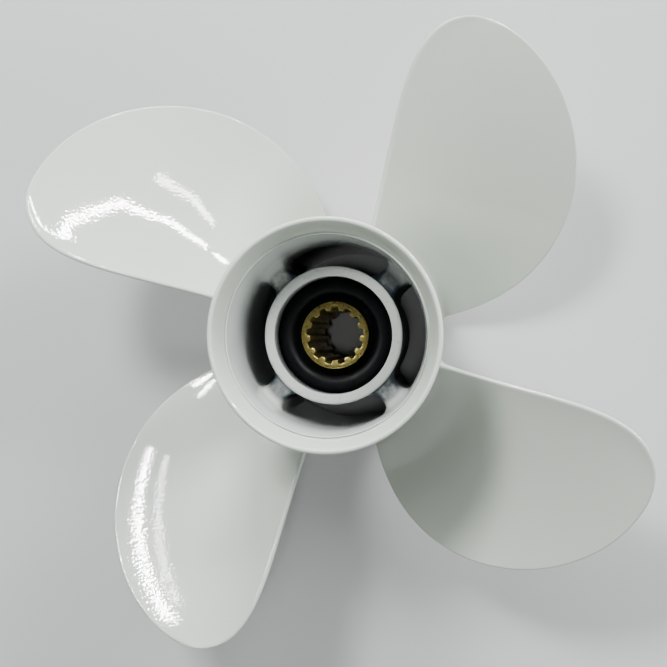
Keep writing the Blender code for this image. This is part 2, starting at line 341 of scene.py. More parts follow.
# A pit starts where the noise passes the first value, and is full at the second.
PIT_START = 0.60
PIT_FULL = 0.74
PIT_DARKNESS = 0.72
# A die casting's skin has a grain of 0.2 to 0.4 mm. It is drawn at 0.9 mm, as a pixel of
# the picture covers 0.4 mm.
SKIN_SIZE = 0.0009
SKIN_HEIGHT = 0.00008
# What speckles, patches and an aft-facing surface add to the dust, and what they must pass.
SPECKLE_SHARE = 0.9
PATCH_SHARE = 0.5
AFT_SHARE = 0.75
DUST_NEEDED = 0.95
# The dust starts 0.15 past that need, and covers three quarters from 0.75 past it.
DUST_FADE = (0.15, 0.75, 0.0, 0.75)
# Painted shade: the dust is thinner with X + Y, and thinner where X and Y have the same sign,
# as the upper ribs lie in the barrel's shade.
DUST_AND_SHADE_LEVEL = 0.925
PAINTED_SHADE_SLOPE = -3.3
PAINTED_SHADE_TWIST = -425.0
# White returns next to the barrel's wall, between these radii.
WALL_INNER = 0.0325
WALL_OUTER = 0.0365
# The ring's face is white from its chamfer up, and the hub's bore only near its top.
RING_LOW = 0.0925
RING_HIGH = 0.0945
HUB_BORE_LIMIT = 0.0246
WIPED_LOW = 0.086
WIPED_HIGH = 0.099
WIPED_SHARE = 0.62
WIPED_RAGGED = 0.010


def rib_dust_and_shade(tree, place, parts, speckle):
    """The share of white on a rib, most on what faces aft, and less on the upper ribs as painted shade.
    """
    facing = add(tree, "ShaderNodeTexCoord").outputs["Normal"]
    aft = add(tree, SEPARATE, facing).outputs["Z"]
    patches = add(tree, NOISE, {"Vector": place, "Scale": 1 / PATCH_SIZE, "Detail": 2.0})
    fine = add(tree, "MULTIPLY", speckle, SPECKLE_SHARE)
    dust = add(tree, "ADD", fine, add(tree, "MULTIPLY", patches, PATCH_SHARE))
    over = add(tree, "SUBTRACT", dust, DUST_NEEDED)
    caught = add(tree, "MULTIPLY_ADD", aft, AFT_SHARE, over)
    white = add(tree, MAP_RANGE, caught, *DUST_FADE, **SMOOTH)
    # Painted shade: the upper ribs, which lie in the barrel's shade, get less white.
    side = add(tree, "ADD", parts["X"], parts["Y"])
    dust_and_shade = add(tree, "MULTIPLY_ADD", side, PAINTED_SHADE_SLOPE, DUST_AND_SHADE_LEVEL)
    corner = add(tree, "MULTIPLY", parts["X"], parts["Y"])
    dust_and_shade = add(tree, "MULTIPLY_ADD", corner, PAINTED_SHADE_TWIST, dust_and_shade)
    return add(tree, "MULTIPLY", white, dust_and_shade, use_clamp=True)


def ring_white(tree, place, parts, away, speckle):
    """The share of white on the ring's face and at the top of the hub's bore, with pits."""
    face = add(tree, MAP_RANGE, parts["Z"], RING_LOW, RING_HIGH, 0.0, 1.0, **SMOOTH)
    in_bore = add(tree, "LESS_THAN", away, HUB_BORE_LIMIT)
    uneven = add(tree, "MULTIPLY_ADD", speckle, WIPED_RAGGED, parts["Z"])
    wiped = add(tree, MAP_RANGE, uneven, WIPED_LOW, WIPED_HIGH, 0.0, WIPED_SHARE)
    white = add(tree, "MAXIMUM", face, add(tree, "MULTIPLY", in_bore, wiped))
    pits = add(tree, NOISE, {"Vector": place, "Scale": 1 / PIT_SIZE, "Detail": 3.0})
    scuffed = add(tree, MAP_RANGE, pits, PIT_START, PIT_FULL, 1.0, PIT_DARKNESS)
    return add(tree, "MULTIPLY", white, scuffed)


def sprayed_casting():
    """Primed die casting with overspray. It gives the eye a dull blue-black skin, mottled
    with grey-white on the ribs, and a flat grey-white ring."""
    material, tree, shader, place = new_material("primed_cast_aluminium_with_overspray")
    parts = add(tree, SEPARATE, place).outputs
    away = off_axis(tree, parts)
    grains = {"Vector": place, "Scale": 1 / DUST_SIZE, "Detail": 8.0, "Roughness": 0.75}
    speckle = add(tree, NOISE, grains)
    at_wall = add(tree, MAP_RANGE, away, WALL_INNER, WALL_OUTER, 0.0, 1.0, **SMOOTH)
    sprayed = add(tree, "MULTIPLY", spray_share(tree, place), at_wall)
    white = add(tree, "MAXIMUM", rib_dust_and_shade(tree, place, parts, speckle), sprayed)
    white = add(tree, "MAXIMUM", white, ring_white(tree, place, parts, away, speckle))
    colour = add(tree, MIX, white, linear(PRIMER_DARK), linear(DUSTY_WHITE), data_type="RGBA")
    skin = add(tree, NOISE, {"Vector": place, "Scale": 1 / SKIN_SIZE, "Detail": 4.0})
    bump = add(tree, BUMP, {"Strength": 0.7, "Distance": SKIN_HEIGHT, "Height": skin})
    fill(tree, shader, {"Base Color": colour, "Roughness": 0.5, "Normal": bump})
    return material


casting = sprayed_casting()
print("made", casting.name)

# %% [markdown]
# ## The rubber and the brass
# The bush is moulded black rubber, matt with soft sheens, and a fine line runs where the
# halves of its mould met. The sleeve is turned and broached from leaded brass, oiled and
# spotted with tarnish. The line could be a ridge in the mesh, but it is thinner than the
# faces there, so it is drawn with the rubber's grain.

# %% Rubber and brass
RUBBER_BLACK = "030405"
RUBBER_GREASED = "0a0c0e"
RUBBER_CLOUD_SIZE = 0.006
# The grain of moulded rubber is about 0.1 mm. It is drawn at 0.8 mm, or it would not show.
RUBBER_GRAIN_SIZE = 0.0008
RUBBER_GRAIN_HEIGHT = 0.00005
# The mould line runs from the middle to this side, 0.16 mm wide with soft flanks.
MOULD_LINE = math.radians(70)
LINE_CORE = 0.00008
LINE_FLANK = 0.00030
LINE_DEPTH = 4.0
BRASS = "c4b46a"
BRASS_TARNISH = "5a5129"
# Tarnish spots are about 1 mm wide, with finer ones inside.
TARNISH_SIZE = 0.0010
TARNISH_HEIGHT = 0.00012
TARNISH_START = 0.53
TARNISH_FULL = 0.68
# Over the middle of a noise, the roughness goes from its first value to its second.
NOISE_MIDDLE = (0.3, 0.7)
RUBBER_ROUGHNESS = (0.42, 0.62)
BRASS_ROUGHNESS = (0.24, 0.55)


def moulded_rubber():
    """Black nitrile rubber, moulded. It gives the eye a matt black ring, with a faint sheen
    where handling and grease smoothed it."""
    material, tree, shader, place = new_material("moulded_black_rubber")
    along = add(tree, "ShaderNodeMapping", {"Vector": place, "Rotation": (0.0, 0.0, MOULD_LINE)})
    parts = add(tree, SEPARATE, along).outputs
    off_line = add(tree, "ABSOLUTE", parts["Y"])
    line = add(tree, MAP_RANGE, off_line, LINE_CORE, LINE_FLANK, LINE_DEPTH, 0.0)
    line = add(tree, "MULTIPLY", line, add(tree, "GREATER_THAN", parts["X"], 0.0))
    cloud = add(tree, NOISE, {"Vector": place, "Scale": 1 / RUBBER_CLOUD_SIZE, "Detail": 5.0})
    rough = add(tree, MAP_RANGE, cloud, *NOISE_MIDDLE, *RUBBER_ROUGHNESS)
    colour = add(tree, MIX, cloud, linear(RUBBER_BLACK), linear(RUBBER_GREASED), data_type="RGBA")
    grain = add(tree, NOISE, {"Vector": place, "Scale": 1 / RUBBER_GRAIN_SIZE, "Detail": 3.0})
    height = add(tree, "SUBTRACT", grain, line)
    bump = add(tree, BUMP, {"Strength": 0.5, "Distance": RUBBER_GRAIN_HEIGHT, "Height": height})
    fill(tree, shader, {"Base Color": colour, "Roughness": rough, "Normal": bump})
    fill(tree, shader, {"Specular IOR Level": 0.25})
    return material


def turned_brass():
    """Leaded brass bar, turned, oiled and tarnished. It gives the eye a warm yellow glint
    between brown spots."""
    material, tree, shader, place = new_material("oiled_turned_brass")
    grains = {"Vector": place, "Scale": 1 / TARNISH_SIZE, "Detail": 4.0, "Roughness": 0.7}
    spots = add(tree, NOISE, grains)
    tarnish = add(tree, MAP_RANGE, spots, TARNISH_START, TARNISH_FULL, 0.0, 1.0)
    colour = add(tree, MIX, tarnish, linear(BRASS), linear(BRASS_TARNISH), data_type="RGBA")
    rough = add(tree, MAP_RANGE, spots, *NOISE_MIDDLE, *BRASS_ROUGHNESS)
    bump = add(tree, BUMP, {"Strength": 0.6, "Distance": TARNISH_HEIGHT, "Height": spots})
    fill(tree, shader, {"Base Color": colour, "Metallic": 1.0, "Roughness": rough, "Normal": bump})
    return material


rubber = moulded_rubber()
brass = turned_brass()
print("made", rubber.name, "and", brass.name)

# %% [markdown]
# ## Turned pieces
# The barrel, the inner hub and the bush are round, so each is one closed profile carried
# round the shaft. The profile is a list of (radius, height) points. Its edges are arcs, with
# a short straight lead on both sides that keeps the shading of the flat faces flat. A
# bevel modifier could round them too, but an arc is exact and says its own radius.

# %% Arcs and turning
def arc(radius, height, size, start, end, steps=6, lead=0.3):
    """Points of an arc round (radius, height), from one angle to another, in degrees."""
    points = []
    for i in range(steps + 1):
        turn = math.radians(start + (end - start) * i / steps)
        points.append((radius + size * math.cos(turn), height + size * math.sin(turn)))
    way = math.copysign(size * lead, end - start)
    for place, turn, back in ((0, start, -1), (len(points) + 1, end, 1)):
        at = points[0] if place == 0 else points[-1]
        angle = math.radians(turn)
        tangent = (-math.sin(angle) * way * back, math.cos(angle) * way * back)
        points.insert(place, (at[0] + tangent[0], at[1] + tangent[1]))
    return points


def band(count, here, there):
    """The faces between two closed rows of points, from the number of each row's first."""
    after = [(k + 1) % count for k in range(count)]
    return [(here + k, here + m, there + m, there + k) for k, m in enumerate(after)]


def turned(name, profile, sides, material):
    """Carries a closed profile round the shaft."""
    verts = []
    faces = []
    count = len(profile)
    for i in range(sides):
        turn = math.tau * i / sides
        verts += [(r * math.cos(turn), r * math.sin(turn), z) for r, z in profile]
        faces += band(count, i * count, (i + 1) % sides * count)
    mesh = bpy.data.meshes.new(name)
    mesh.from_pydata(verts, [], faces)
    return show(name, mesh, material)


print("an edge of 90 degrees has", len(arc(0.0, 0.0, 1.0, 0, 90)), "points with its leads")

# %% [markdown]
# ## The barrel
# The outer barrel is a slightly tapered tube. Its aft end flares to a rounded rim, and
# inside the rim lies a machined cone that ends in a fine groove and a ledge. All of it is
# turned in reality too, so one profile makes it, and the flare is a plain square law.

# %% Barrel
LENGTH = 0.127
RIM_RADIUS = 0.046
RIM_ROUNDING = 0.001
FRONT_RADIUS = 0.0409
FRONT_OUTER_ROUNDING = 0.0008
FRONT_INNER_ROUNDING = 0.0006
# The radius grows by this share of the height, and flares as well from the next height up.
OUTSIDE_DRAFT = 0.022
FLARE_START = 0.098
FLARE_ROWS = 10
MIDDLE_HEIGHT = 0.050
FRONT_BORE = 0.0374
THROAT_BORE = 0.0379
THROAT_HEIGHT = 0.099
BORE_HEIGHTS = (MIDDLE_HEIGHT, 0.099, 0.103, 0.107, 0.111, 0.115)
LEDGE_RADIUS = 0.0396
LEDGE_HEIGHT = 0.1191
LEDGE_ROUNDING = 0.0002
# The groove beside the ledge, and where the mouth's cone starts.
MOUTH_GROOVE = [(0.03992, 0.1191), (0.03998, 0.1183), (0.04040, 0.1183), (0.04052, 0.11953)]
BARREL_SIDES = 192


def barrel_outside(height):
    """The outer radius at a height: a taper, and a flare near the aft end."""
    share = max(0.0, (height - FLARE_START) / (LENGTH - FLARE_START))
    flare = RIM_RADIUS - FRONT_RADIUS - OUTSIDE_DRAFT * LENGTH
    return FRONT_RADIUS + OUTSIDE_DRAFT * height + flare * share ** 2


def barrel_inside(height):
    """The bore's radius at a height, up to the ledge."""
    if height < THROAT_HEIGHT:
        return FRONT_BORE + (THROAT_BORE - FRONT_BORE) * height / THROAT_HEIGHT
    share = (height - THROAT_HEIGHT) / (LEDGE_HEIGHT - THROAT_HEIGHT)
    return THROAT_BORE + (LEDGE_RADIUS - THROAT_BORE) * share ** 2


def barrel_profile():
    """Over the rim, down the outside, round the front and up the bore to the mouth."""
    rim, outer, inner = RIM_ROUNDING, FRONT_OUTER_ROUNDING, FRONT_INNER_ROUNDING
    points = arc(RIM_RADIUS - rim, LENGTH - rim, rim, 152.5, -9, steps=9)
    for step in range(FLARE_ROWS - 1, -1, -1):
        height = FLARE_START + (LENGTH - FLARE_START) * step / FLARE_ROWS
        points.append((barrel_outside(height), height))
    points.append((barrel_outside(MIDDLE_HEIGHT), MIDDLE_HEIGHT))
    points += arc(FRONT_RADIUS - outer, outer, outer, 1, -90)
    points += arc(FRONT_BORE + inner, inner, inner, -90, -180)
    points += [(barrel_inside(height), height) for height in BORE_HEIGHTS]
    ledge = LEDGE_ROUNDING
    points += arc(LEDGE_RADIUS + ledge, LEDGE_HEIGHT - ledge, ledge, 175, 90, steps=3)
    return points + MOUTH_GROOVE


barrel = turned("painted_barrel", barrel_profile(), BARREL_SIDES, bore_enamel)

# %% [markdown]
# ## The inner hub and the rubber bush
# The hub is a plain tube whose aft end is the ring that shows. The bush fills it, ends in a
# bulged lip, and dips towards the sleeve that it is bonded to. At the front it has a recess
# for the sleeve's flange. Both are round, so both are turned from profiles, and the lip is
# given point by point, because a pressed rubber bulge follows no simple curve.

# %% Hub and bush
HUB_TOP = 0.0949
HUB_FRONT = 0.0090
HUB_TOP_RADIUS = 0.0281
HUB_TOP_ROUNDING = 0.0012
HUB_FRONT_RADIUS = 0.0258
HUB_FRONT_ROUNDING = 0.0010
HUB_BORE = 0.0240
HUB_BORE_ROUNDING = 0.0005
HUB_SIDES = 160
BUSH_RADIUS = 0.02395
BUSH_BORE = 0.01416
BUSH_FRONT = 0.0125
BUSH_SIDES = 144
BUSH_LIP = [
    (BUSH_RADIUS, 0.0815), (0.0238, 0.0830), (0.0233, 0.0845), (0.0224, 0.0857), (0.0212, 0.0863),
    (0.0200, 0.0865), (0.0188, 0.0863), (0.0179, 0.0857), (0.0172, 0.0848), (0.0167, 0.0836),
    (0.0160, 0.0824), (0.0150, 0.0815), (BUSH_BORE, 0.0811),
]
FLANGE_RECESS = [(BUSH_BORE, 0.0173), (0.0168, 0.0173), (0.0168, BUSH_FRONT)]


def hub_outside(height):
    """The hub's outer radius at a height."""
    share = (height - HUB_FRONT) / (HUB_TOP - HUB_FRONT)
    return HUB_FRONT_RADIUS + (HUB_TOP_RADIUS - HUB_FRONT_RADIUS) * share


def hub_profile():
    """Over the ring's outer edge, down to the front and up the bore."""
    outer, front, bore = HUB_TOP_ROUNDING, HUB_FRONT_ROUNDING, HUB_BORE_ROUNDING
    points = arc(HUB_TOP_RADIUS - outer, HUB_TOP - outer, outer, 90, -1.5)
    points += arc(HUB_FRONT_RADIUS - front, HUB_FRONT + front, front, 0, -90)
    points += [(HUB_BORE, HUB_FRONT), (HUB_BORE, MIDDLE_HEIGHT)]
    return points + arc(HUB_BORE + bore, HUB_TOP - bore, bore, 180, 90, steps=4)


hub = turned("hub_ring", hub_profile(), HUB_SIDES, casting)
bush_profile = [(BUSH_RADIUS, BUSH_FRONT), (BUSH_RADIUS, MIDDLE_HEIGHT), *BUSH_LIP]
bush_profile += [(BUSH_BORE, MIDDLE_HEIGHT), *FLANGE_RECESS]
bush = turned("rubber_cushion", bush_profile, BUSH_SIDES, rubber)

# %% [markdown]
# ## The ribs
# Four ribs carry the hub in the barrel. Each is rounded on top, narrows towards the front
# and runs into both walls with a fillet of 4 mm. Joining and bevelling solids could make
# them, but the curved walls would leave poor faces there. So one rib is laid out as rows of
# points from the hub to the barrel, and a tree repeats it.

# %% Ribs
RIBS = 4
RIB_TOP = 0.0905
RIB_FRONT = 0.0100
RIB_ANGLE = math.radians(44.3)
RIB_HALF_TOP = 0.0047
RIB_HALF_FRONT = 0.0027
RIB_ROUNDING = 0.0024
RIB_FILLET = 0.0040
# A fillet lifts the top by this share of its width, and widens the rounding by that one.
FILLET_LIFT = 0.6
FILLET_ROUNDING = 0.3
# The first row lies this deep in the wall, and the fillet starts a trace inside it.
WALL_DEPTH = 0.0006
WALL_TRACE = 0.00003
SECTION_SHARES = (0.0, 0.25, 0.5, 0.75, 0.97)
SEAM_DISTANCE = 0.00001


def rib_rows():
    """How far each row stands from its wall, and how much the fillet widens it."""
    rows = [(-WALL_DEPTH, RIB_FILLET)]
    for i in range(9):
        turn = math.radians(90 * i / 8)
        out = RIB_FILLET * (1 - math.cos(turn)) - WALL_TRACE
        rows.append((out, RIB_FILLET * (1 - math.sin(turn))))
    return rows


def rib_section(extra):
    """Half a section from the front edge to the middle of the top, as (side, height)."""
    top = RIB_TOP + FILLET_LIFT * extra
    rounding = RIB_ROUNDING + FILLET_ROUNDING * extra
    half_front = RIB_HALF_FRONT + extra
    half_top = RIB_HALF_TOP + extra
    points = []
    for s in SECTION_SHARES:
        height = RIB_FRONT + (top - rounding - RIB_FRONT) * s
        points.append((half_front * (1 - s) + half_top * s, height))
    points += arc(half_top - rounding, top - rounding, rounding, 0, 90, steps=6, lead=0.0)[1:-1]
    points.append((0.0, top))
    return points


def rib_mesh():
    """One rib as rows of points from the hub to the barrel, with its two ends closed."""
    walls = rib_rows()
    rings = [(0, gap, extra) for gap, extra in walls]
    rings += [(1, gap, extra) for gap, extra in reversed(walls)]
    verts = []
    for far, gap, extra in rings:
        half = rib_section(extra)
        outline = [(-side, height) for side, height in half]
        outline += [(side, height) for side, height in reversed(half[:-1])]
        for side, height in outline:
            inner = math.sqrt(hub_outside(height) ** 2 - side ** 2)
            outer = math.sqrt(barrel_inside(height) ** 2 - side ** 2)
            reach = outer - gap if far else inner + gap
            verts.append(Matrix.Rotation(RIB_ANGLE, 3, "Z") @ Vector((reach, side, height)))
    count = len(verts) // len(rings)
    faces = []
    for row in range(len(rings) - 1):
        faces += band(count, row * count, (row + 1) * count)
    middle = count // 2
    for first in (0, (len(rings) - 1) * count):
        last = first + count - 1
        faces += [(first + k, first + k + 1, last - 1 - k, last - k) for k in range(middle - 1)]
        faces.append((first + middle - 1, first + middle, first + middle + 1))
    mesh = bpy.data.meshes.new("rib")
    mesh.from_pydata(verts, [], faces)
    return mesh


round_tree, given = new_tree("Repeat round the shaft", {"Count": RIBS, "Finish": None})
seams = {"Geometry": given["Geometry"], "Distance": SEAM_DISTANCE}
joined = add(round_tree, "GeometryNodeMergeByDistance", seams)
repeat_round(round_tree, joined, given["Count"], given["Finish"])
ribs = grow("hub_ribs", round_tree, {"Count": RIBS, "Finish": casting}, start=rib_mesh())

# %% [markdown]
# ## The brass sleeve
# Thirteen straight splines take the propeller shaft. Its gaps could be cut out of a thick
# tube, which leaves long thin faces. So one spline's share of the sleeve is laid out as a
# closed strip, with a rounded tooth in its bore, and the same tree repeats it thirteen times.

# %% Splined sleeve
SPLINES = 13
SLEEVE_RADIUS = 0.01386
SLEEVE_FRONT = 0.0110
SLEEVE_TOP = 0.0879
SPLINE_ROOT = 0.0118
SPLINE_TIP = 0.0102
CONE_RADIUS = 0.0130
# Half a tooth, as the share of its step round the shaft and the share of its height.
TOOTH_FORM = [
    (0.0, 0.0), (0.12, 0.0), (0.19, 0.04), (0.235, 0.25),
    (0.275, 0.70), (0.315, 0.93), (0.38, 1.0), (0.5, 1.0),
]
FLANGE = [(0.0161, SLEEVE_FRONT), (0.0165, 0.0114), (0.0165, 0.0166), (0.0161, 0.0170)]
SLEEVE_OUTSIDE = [(BUSH_BORE, 0.0170), (SLEEVE_RADIUS, 0.0172), (SLEEVE_RADIUS, 0.0874)]
END_FACE = [(0.01370, 0.08778), (0.0135, SLEEVE_TOP)]
END_GROOVE = [(0.01338, SLEEVE_TOP), (0.01330, 0.08770), (0.01312, 0.08770), (0.01304, SLEEVE_TOP)]
# The bore's rows, as what is added to the spline's radius, and the height.
SPLINE_ROWS = [
    (0.00045, SLEEVE_TOP), (0.00015, 0.08775), (0.0, 0.0874),
    (0.0, 0.0872), (0.0, 0.0540), (0.0, 0.0213),
]


def sleeve_strip():
    """One thirteenth of the sleeve, whose bore follows the tooth's form."""
    form = [(-share, rise) for share, rise in reversed(TOOTH_FORM[1:])] + TOOTH_FORM
    verts = []
    for share, rise in form:
        turn = math.radians(90) + share * math.tau / SPLINES
        spline = SPLINE_ROOT - (SPLINE_ROOT - SPLINE_TIP) * rise
        rows = FLANGE + SLEEVE_OUTSIDE + END_FACE + END_GROOVE
        rows += [(spline + more, height) for more, height in SPLINE_ROWS]
        rows.append((CONE_RADIUS, SLEEVE_FRONT))
        verts += [(r * math.cos(turn), r * math.sin(turn), z) for r, z in rows]
    count = len(rows)
    faces = []
    for column in range(len(form) - 1):
        faces += band(count, column * count, (column + 1) * count)
    mesh = bpy.data.meshes.new("sleeve_strip")
    mesh.from_pydata(verts, [], faces)
    return mesh


sleeve_values = {"Count": SPLINES, "Finish": brass}
sleeve = grow("splined_sleeve", round_tree, sleeve_values, start=sleeve_strip())

# %% [markdown]
# ## The blades
# A propeller blade is a screw surface: a line that turns about the shaft and climbs by the
# pitch in one turn. Rake tips it aft. Two curves bound it, the leading and the trailing
# edge, and each gives an angle for every radius. It could be sculpted from a plane, but all
# of this is a rule, so the whole blade is a node tree: a flat grid of points, each moved to
# where its chord and its radius say. The first rows are a fillet that leaves the barrel
# along its wall and turns outwards.

# %% Blade tree, inputs and grid
BLADES = 4
# Stations run round the section, and rows from the barrel to the tip. Sizes are in metres.
# The rake is a climb per metre outwards, and its curve one per square metre.
BLADE_INPUTS = {
    "Stations": 113, "Rows": 72, "Fillet rows": 10, "Blades": BLADES,
    "Tip radius": 0.1435, "Root radius": 0.0424, "Pitch": 0.3438, "Screw height": -0.0034,
    "Rake": 0.46, "Rake curve": -1.37, "Root thickness": 0.0100, "Tip thickness": 0.0030,
    "Edge thickness": 0.0021, "Cup height": 0.0008, "Cup share": 0.16, "Cup fade": 0.04,
    "Fillet": 0.0060, "Paint": None,
}

blade_tree, given = new_tree("Screw blades", BLADE_INPUTS)
node = functools.partial(add, blade_tree)
grid = node("GeometryNodeMeshGrid", 1.0, 1.0, given["Stations"], given["Rows"])
index = node("GeometryNodeInputIndex")
station = node("FLOOR", node("DIVIDE", index, given["Rows"]))
row = node("SUBTRACT", index, node("MULTIPLY", station, given["Rows"]))
last = node("SUBTRACT", given["Stations"], 1.0)
turn_round = node("MULTIPLY", node("DIVIDE", station, last), math.tau)
chord = node("MULTIPLY_ADD", node("COSINE", turn_round), -0.5, 0.5)
face_side = node("MULTIPLY", node("SIGN", node("SINE", turn_round)), -1.0)
print("a blade's grid has", BLADE_INPUTS["Stations"] * BLADE_INPUTS["Rows"], "points")

# %% [markdown]
# The fillet is smaller at the two edges than in the middle. Its rows follow a quarter
# circle: each lies a step further from the barrel and thickens the blade by less. The two
# rows before them lie in the barrel's wall and close the blade's root.

# %% Blade tree, rows
BURIED_ROWS = 2.0
# The fillet is smaller at the two edges by these shares, which fade inwards by the power.
LEADING_LESS = 0.55
TRAILING_LESS = 0.25
EDGE_POWER = 4.0
# The blade's rows lie closer together towards the tip.
ROW_POWER = 2.0

far_chord = node("SUBTRACT", 1.0, chord)
less_lead = node("MULTIPLY", node("POWER", far_chord, EDGE_POWER), LEADING_LESS)
less_trail = node("MULTIPLY", node("POWER", chord, EDGE_POWER), TRAILING_LESS)
keep = node("SUBTRACT", node("SUBTRACT", 1.0, less_lead), less_trail)
fillet = node("MULTIPLY", given["Fillet"], keep)
past_root = node("SUBTRACT", row, BURIED_ROWS)
fillet_share = node("DIVIDE", past_root, given["Fillet rows"], use_clamp=True)
bend = node("MULTIPLY", fillet_share, math.pi / 2)
climb = node("MULTIPLY", fillet, node("SUBTRACT", 1.0, node("COSINE", bend)))
extra = node("MULTIPLY", fillet, node("SUBTRACT", 1.0, node("SINE", bend)))
last_row = node("SUBTRACT", given["Rows"], BURIED_ROWS + 1.0)
body_rows = node("SUBTRACT", last_row, given["Fillet rows"])
body_row = node("SUBTRACT", past_root, given["Fillet rows"])
share = node("DIVIDE", body_row, body_rows, use_clamp=True)
rest = node("POWER", node("SUBTRACT", 1.0, share), ROW_POWER)
foot = node("ADD", given["Root radius"], climb)
to_tip = node("SUBTRACT", given["Tip radius"], foot)
radius = node("SUBTRACT", given["Tip radius"], node("MULTIPLY", to_tip, rest))
buried = node("MAXIMUM", node("MULTIPLY", past_root, -1.0), 0.0)
solid = node("MINIMUM", row, 1.0)
print("rows in the fillet:", BLADE_INPUTS["Fillet rows"], "of", BLADE_INPUTS["Rows"])

# %% [markdown]
# Each edge is a smooth curve from the tip to the root. Mixing neighbouring control values
# again and again until one is left gives the curve's value, which is how such a curve is
# drawn by hand too. The height of a point is then the screw's, plus the rake, plus the cup:
# the trailing edge is bent aft a little to hold the water, and less so near the tip.

# %% Blade tree, edges and screw
# The edges' curves end at the first radius, and the rake starts at the second.
EDGE_ROOT = 0.044
RAKE_START = 0.046
# The cup grows with this power of the way through its share of the chord.
CUP_POWER = 3.0
# Angles round the shaft, from the tip, where the edges meet, to the root.
TIP_TURN = math.radians(60.8)
TRAILING_TURNS = [math.radians(turn) for turn in (70.0, 77.3, 74.2, 73.5)]
LEADING_TURNS = [math.radians(turn) for turn in (48.5, 35.5, 14.0, 11.7)]


def curve_value(tree, controls, share):
    """The value at this share of a curve from its first to its last control value."""
    values = controls
    while len(values) > 1:
        values = [add(tree, MIX, share, a, b) for a, b in zip(values, values[1:])]
    return values[0]


below_tip = node("SUBTRACT", given["Tip radius"], radius)
span_length = node("SUBTRACT", given["Tip radius"], EDGE_ROOT)
inward = node("SQRT", node("MAXIMUM", node("DIVIDE", below_tip, span_length), 0.0))
leading = curve_value(blade_tree, [TIP_TURN, *LEADING_TURNS], inward)
trailing = curve_value(blade_tree, [TIP_TURN, *TRAILING_TURNS], inward)
width = node("SUBTRACT", trailing, leading)
slope = node("ARCTAN2", given["Pitch"], node("MULTIPLY", radius, math.tau))
lean = node("DIVIDE", node("COSINE", slope), radius)
both_ways = node("MULTIPLY_ADD", chord, 2.0, -1.0)
wider = node("MULTIPLY", node("MULTIPLY", extra, lean), both_ways)
turn = node("ADD", node("MULTIPLY_ADD", width, chord, leading), wider)
out = node("SUBTRACT", radius, RAKE_START)
climb_rate = node("DIVIDE", given["Pitch"], math.tau)
screwed = node("MULTIPLY_ADD", turn, climb_rate, given["Screw height"])
raked = node("MULTIPLY_ADD", out, given["Rake"], screwed)
curved = node("MULTIPLY_ADD", node("MULTIPLY", out, out), given["Rake curve"], raked)
past_cup_start = node("SUBTRACT", chord, node("SUBTRACT", 1.0, given["Cup share"]))
in_cup = node("DIVIDE", past_cup_start, given["Cup share"], use_clamp=True)
chord_length = node("DIVIDE", width, lean)
near_tip = node("DIVIDE", chord_length, given["Cup fade"], use_clamp=True)
cup = node("MULTIPLY", node("POWER", in_cup, CUP_POWER), near_tip)
height = node("MULTIPLY_ADD", cup, given["Cup height"], curved)
print("a full turn climbs", round(1000 * BLADE_INPUTS["Pitch"], 1), "mm")

# %% [markdown]
# The section is flat on the aft face, which drives, and bulged on the forward face. Near
# an edge the thickness follows a small half circle, so the edges are round. The distance to
# the nearest edge is worked out for a leaf that narrows to its tip, so the tip is round too.

# %% Blade tree, thickness
# Powers under 1 thin the blade soon after its root, and keep the belly full up to the edges.
THINNING_POWER = 0.8
BELLY_POWER = 0.75
# It is 4 for a leaf whose width goes with the square root of the way from its tip.
LEAF_FACTOR = 4.0
# Keeps the division at the very tip from a zero.
TINY = 0.000001

span_inside = node("SUBTRACT", radius, EDGE_ROOT)
span_share = node("DIVIDE", span_inside, span_length, use_clamp=True)
thinning = node("POWER", span_share, THINNING_POWER)
less = node("SUBTRACT", given["Tip thickness"], given["Root thickness"])
thickest = node("MULTIPLY_ADD", less, thinning, given["Root thickness"])
both = node("MULTIPLY", chord, far_chord)
belly = node("POWER", node("MULTIPLY", both, 4.0, use_clamp=True), BELLY_POWER)
bulge = node("MULTIPLY", node("SUBTRACT", thickest, given["Edge thickness"]), belly)
half_edge = node("MULTIPLY_ADD", given["Edge thickness"], 0.5, extra)
length = node("MULTIPLY_ADD", extra, 2.0, chord_length)
tip_span = node("MAXIMUM", node("MULTIPLY", below_tip, LEAF_FACTOR), TINY)
narrow = node("DIVIDE", length, tip_span)
narrow_square = node("MULTIPLY", narrow, narrow)
way_square = node("MULTIPLY", both_ways, both_ways)
steep = node("SQRT", node("ADD", way_square, narrow_square))
from_edge = node("DIVIDE", node("MULTIPLY", length, both), steep)
edge_share = node("DIVIDE", from_edge, half_edge, use_clamp=True)
short = node("SUBTRACT", 1.0, edge_share)
rounding = node("SQRT", node("SUBTRACT", 1.0, node("MULTIPLY", short, short)))
on_forward = node("MULTIPLY_ADD", face_side, -0.5, 0.5)
plain_side = node("MULTIPLY", face_side, half_edge)
offset = node("SUBTRACT", plain_side, node("MULTIPLY", bulge, on_forward))
offset = node("MULTIPLY", node("MULTIPLY", offset, rounding), solid)
print("thickness from root to tip, mm:", 1000 * BLADE_INPUTS["Root thickness"],
      "to", 1000 * BLADE_INPUTS["Tip thickness"])

# %% [markdown]
# The offset is laid off at right angles to the screw surface. Near the root the radius is
# then corrected to the barrel's taper, and the tree closes the seams, repeats the blade
# and gives it its paint.

# %% Blade tree, places and copies
# The taper moves the blade's foot with the wall, and less and less up to this reach.
WALL_REACH = 0.02
# Each buried row lies a step deeper in the wall, and every row a trace deeper.
BURIED_STEP = 0.0007
BURIED_TRACE = 0.000015

